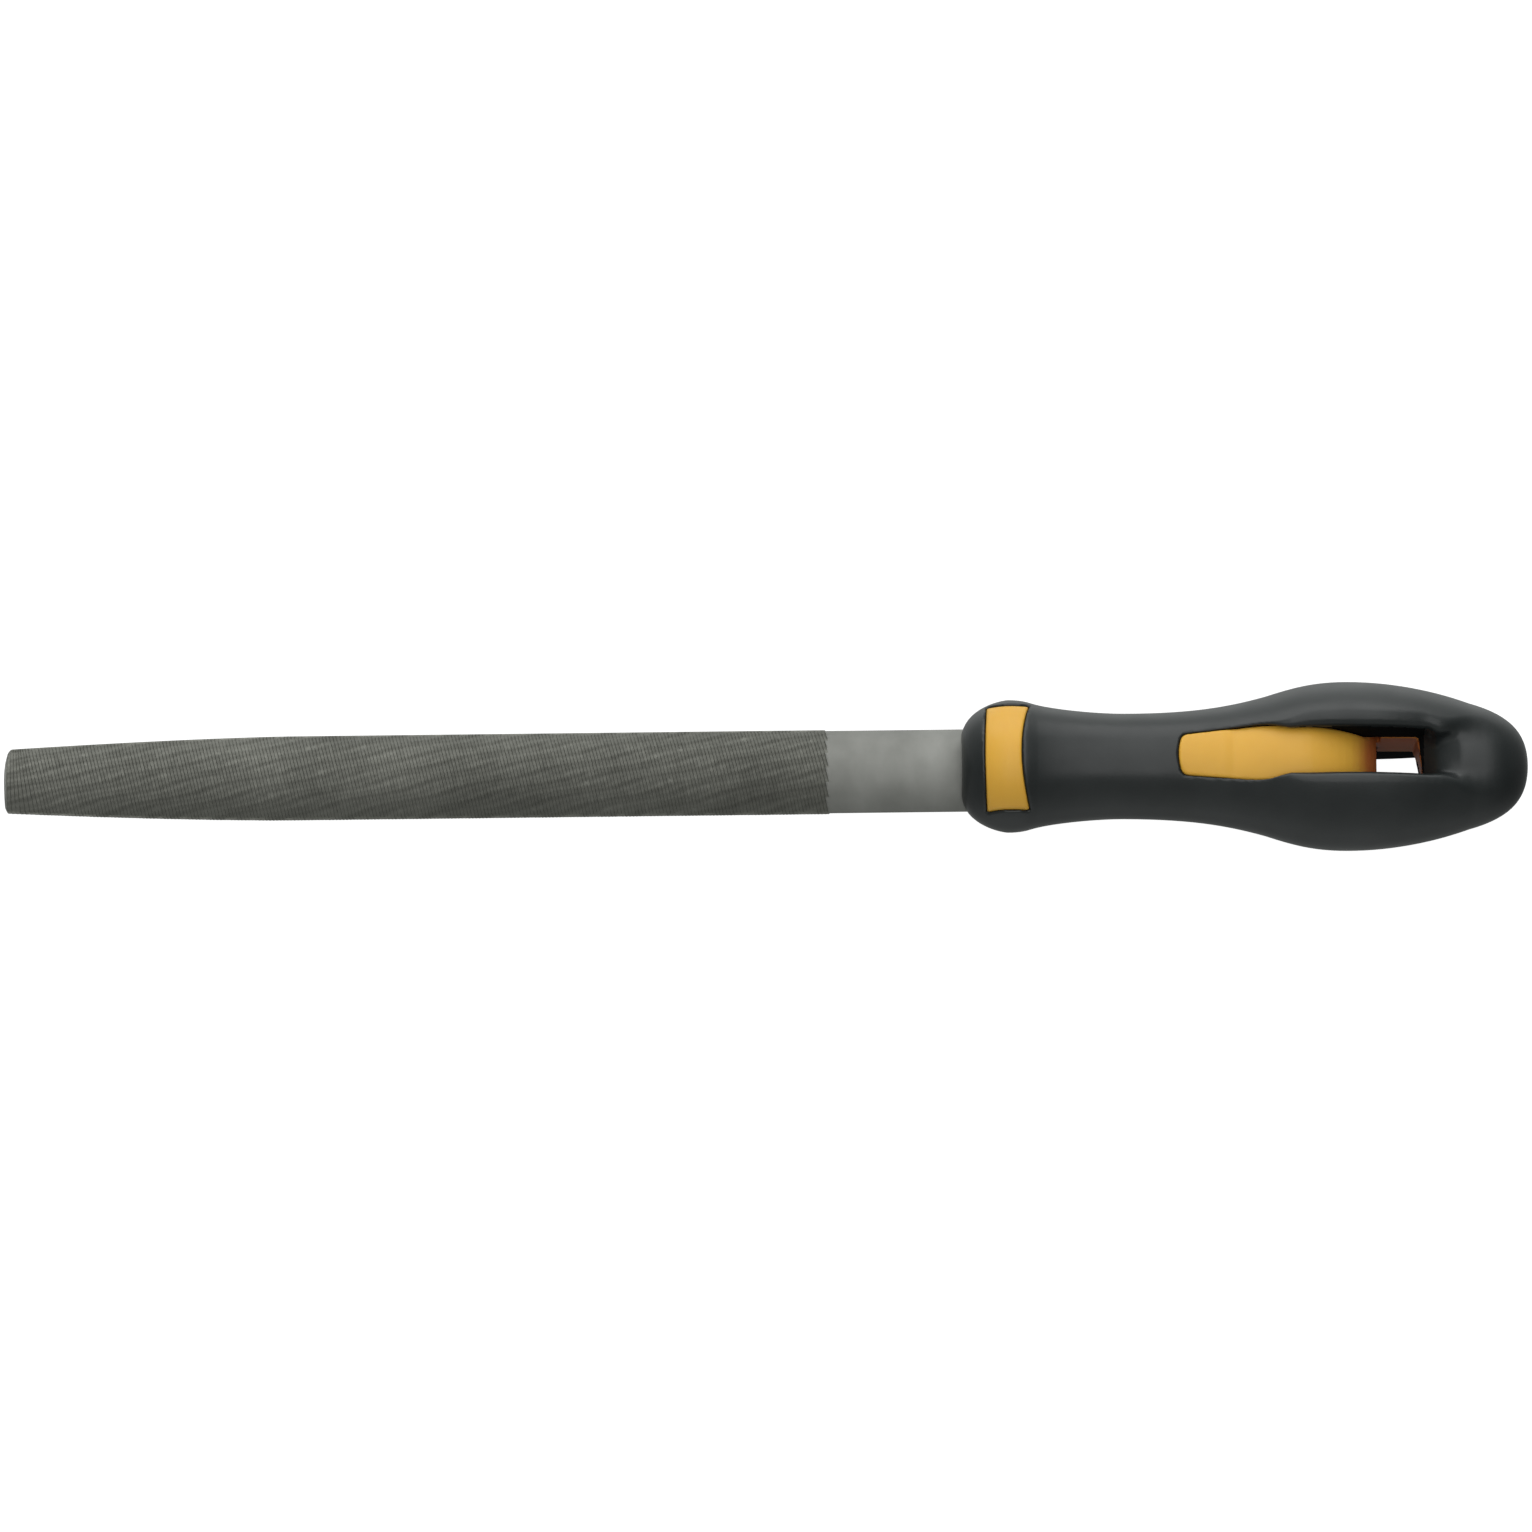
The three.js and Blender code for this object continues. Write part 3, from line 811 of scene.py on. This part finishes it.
def turned(points):
    """The blade's points, yawed off the handle's axis."""
    pivot = np.array([BLADE_PIVOT, 0, 0])
    turn = np.array([
        [math.cos(BLADE_YAW), -math.sin(BLADE_YAW), 0],
        [math.sin(BLADE_YAW), math.cos(BLADE_YAW), 0],
        [0, 0, 1],
    ])
    return (points - pivot) @ turn.T + pivot


def make_blade(cut_steel, ground_steel):
    blade, cut_here = blade_surface()
    row_count = blade.shape[1]
    points, faces = closed_tube(np.concatenate([blade, tang_rings(row_count)]))
    piece = make_piece("file_blade_forging", turned(points), faces, [cut_steel, ground_steel],
                       "file_blade")
    is_ground = np.ones(len(faces), bool)
    is_ground[:(len(cut_here) - 1) * row_count] = ~(cut_here[:-1] & cut_here[1:]).ravel()
    piece.data.polygons.foreach_set("material_index", is_ground.astype(np.int32))
    piece.data.polygons.foreach_set("use_smooth", is_ground)
    piece.data.set_sharp_from_angle(angle=math.radians(40))


# ---- materials ----

BUMP_DEPTH = 0.02                                          # of the surfaces' fine unevenness


def new_material(name):
    material = bpy.data.materials.new(name)
    material.use_nodes = True
    nodes, links = material.node_tree.nodes, material.node_tree.links
    return material, nodes, links, nodes["Principled BSDF"]


def noise(nodes, links, scale, detail, stretch=(1, 1, 1)):
    """Noise in object space, at the given number of features a metre."""
    coordinates = nodes.new("ShaderNodeTexCoord")
    mapping = nodes.new("ShaderNodeMapping")
    mapping.inputs["Scale"].default_value = stretch
    texture = nodes.new("ShaderNodeTexNoise")
    texture.inputs["Scale"].default_value = scale
    texture.inputs["Detail"].default_value = detail
    links.new(coordinates.outputs["Object"], mapping.inputs["Vector"])
    links.new(mapping.outputs["Vector"], texture.inputs["Vector"])
    return texture.outputs["Fac"]


def colour_ramp(nodes, links, value, stops):
    """A colour ramp; each stop is (place, grey or colour)."""
    node = nodes.new("ShaderNodeValToRGB")
    elements = node.color_ramp.elements
    while len(elements) < len(stops):
        elements.new(0.5)
    for element, (position, colour) in zip(elements, stops):
        element.position = position
        element.color = (colour,) * 3 + (1,) if isinstance(colour, (int, float)) else (*colour, 1)
    links.new(value, node.inputs["Fac"])
    return node.outputs["Color"]


def mottled(nodes, links, socket, texture, low, high):
    """Lets noise move a socket between two greys or colours."""
    links.new(colour_ramp(nodes, links, texture, [(0.3, low), (0.7, high)]), socket)


def bump(nodes, links, shader, height, strength):
    node = nodes.new("ShaderNodeBump")
    node.inputs["Strength"].default_value = strength
    node.inputs["Distance"].default_value = BUMP_DEPTH * MM
    links.new(height, node.inputs["Height"])
    links.new(node.outputs["Normal"], shader.inputs["Normal"])


def soft_plastic_material():
    material, nodes, links, shader = new_material("soft_plastic_dark")
    mottled(nodes, links, shader.inputs["Base Color"], noise(nodes, links, 90, 5),
            (0.0090, 0.0115, 0.0118), (0.0165, 0.0195, 0.0197))
    mottled(nodes, links, shader.inputs["Roughness"], noise(nodes, links, 160, 4), 0.28, 0.36)
    shader.inputs["Specular IOR Level"].default_value = 0.37
    bump(nodes, links, shader, noise(nodes, links, 6500, 2), 0.35)
    return material


def slot_wall_shaded_material():
    """The slot's walls, left matt from the mould where no hand polishes them, and darker with painted
    shade.
    """
    material, nodes, links, shader = new_material("soft_plastic_inside_shaded")
    # Painted shade: a base colour about half the grip's, standing in for the shade deep in the slot.
    mottled(nodes, links, shader.inputs["Base Color"], noise(nodes, links, 90, 5),
            (0.0040, 0.0044, 0.0046), (0.0060, 0.0066, 0.0070))
    shader.inputs["Roughness"].default_value = 0.85
    shader.inputs["Specular IOR Level"].default_value = 0.03
    return material


def axis_distance(nodes, links):
    """Distance from the handle's axis."""
    mapping = nodes.new("ShaderNodeMapping")
    mapping.inputs["Location"].default_value = (0, 0, -AXIS_Z * MM)
    mapping.inputs["Scale"].default_value = (0, 1, 1)
    links.new(nodes.new("ShaderNodeTexCoord").outputs["Object"], mapping.inputs["Vector"])
    length = nodes.new("ShaderNodeVectorMath")
    length.operation = "LENGTH"
    links.new(mapping.outputs["Vector"], length.inputs[0])
    return length.outputs["Value"]


def hard_plastic_material():
    """Warm yellow, with painted shade in the depths of the hole: browner and darker there, and with a lower
    specular level.
    """
    material, nodes, links, shader = new_material("hard_plastic_yellow")
    mottle = noise(nodes, links, 60, 4)
    yellow = colour_ramp(nodes, links, mottle, [(0.3, (0.64, 0.346, 0.041)), (0.7, (0.71, 0.391, 0.051))])
    # Painted shade: near the handle's axis, deep in the hole, the yellow is multiplied by a dark brown that
    # stands in for the shade of the slot's walls.
    outside = faded(nodes, links, axis_distance(nodes, links), (0.0065, 0.0105), (0, 1))
    shade_tinted_yellow = nodes.new("ShaderNodeMixRGB")
    shade_tinted_yellow.blend_type = "MULTIPLY"
    shade_tinted_yellow.inputs["Fac"].default_value = 1.0
    links.new(yellow, shade_tinted_yellow.inputs["Color1"])
    painted_shade = colour_ramp(nodes, links, outside, [(0, (0.60, 0.33, 0.75)), (1, 1.0)])
    links.new(painted_shade, shade_tinted_yellow.inputs["Color2"])
    links.new(shade_tinted_yellow.outputs["Color"], shader.inputs["Base Color"])
    mottled(nodes, links, shader.inputs["Roughness"], noise(nodes, links, 220, 4), 0.34, 0.44)
    # The specular level is set on the socket itself and also by a link, which lowers it in the hole's
    # depths. The export leaves out a linked specular level and keeps the socket's own value, so both
    # are set.
    shader.inputs["Specular IOR Level"].default_value = 0.31
    links.new(faded(nodes, links, outside, (0, 1), (0.04, 0.31)), shader.inputs["Specular IOR Level"])
    shader.inputs["Subsurface Weight"].default_value = 0.12
    shader.inputs["Subsurface Radius"].default_value = (0.002, 0.0012, 0.0004)
    shader.inputs["Subsurface Scale"].default_value = 1.0
    bump(nodes, links, shader, noise(nodes, links, 3000, 2), 0.2)
    return material


def cut_steel_material():
    material, nodes, links, shader = new_material("cut_steel")
    mottled(nodes, links, shader.inputs["Base Color"], noise(nodes, links, 70, 6),
            (0.130, 0.131, 0.115), (0.172, 0.173, 0.153))
    shader.inputs["Metallic"].default_value = 0.7
    mottled(nodes, links, shader.inputs["Roughness"], noise(nodes, links, 900, 4), 0.48, 0.64)
    return material


def ground_steel_material():
    material, nodes, links, shader = new_material("ground_steel")
    mottled(nodes, links, shader.inputs["Base Color"], noise(nodes, links, 95, 5, (1, 0.6, 1)),
            (0.173, 0.175, 0.161), (0.260, 0.263, 0.245))
    shader.inputs["Metallic"].default_value = 0.5
    mottled(nodes, links, shader.inputs["Roughness"], noise(nodes, links, 110, 5), 0.58, 0.68)
    bump(nodes, links, shader, noise(nodes, links, 2600, 3, (0.05, 1, 1)), 0.35)
    return material


def floor_material():
    material, nodes, links, shader = new_material("pale_floor")
    shader.inputs["Base Color"].default_value = (0.22, 0.22, 0.22, 1)
    shader.inputs["Roughness"].default_value = 0.9
    shader.inputs["Specular IOR Level"].default_value = 0.1
    shader.inputs["Emission Color"].default_value = (1, 1, 1, 1)
    shader.inputs["Emission Strength"].default_value = 0.96
    return material


make_camera()
make_lights()
make_floor(floor_material())
make_grip(soft_plastic_material(), slot_wall_shaded_material())
make_core(hard_plastic_material())
make_blade(cut_steel_material(), ground_steel_material())
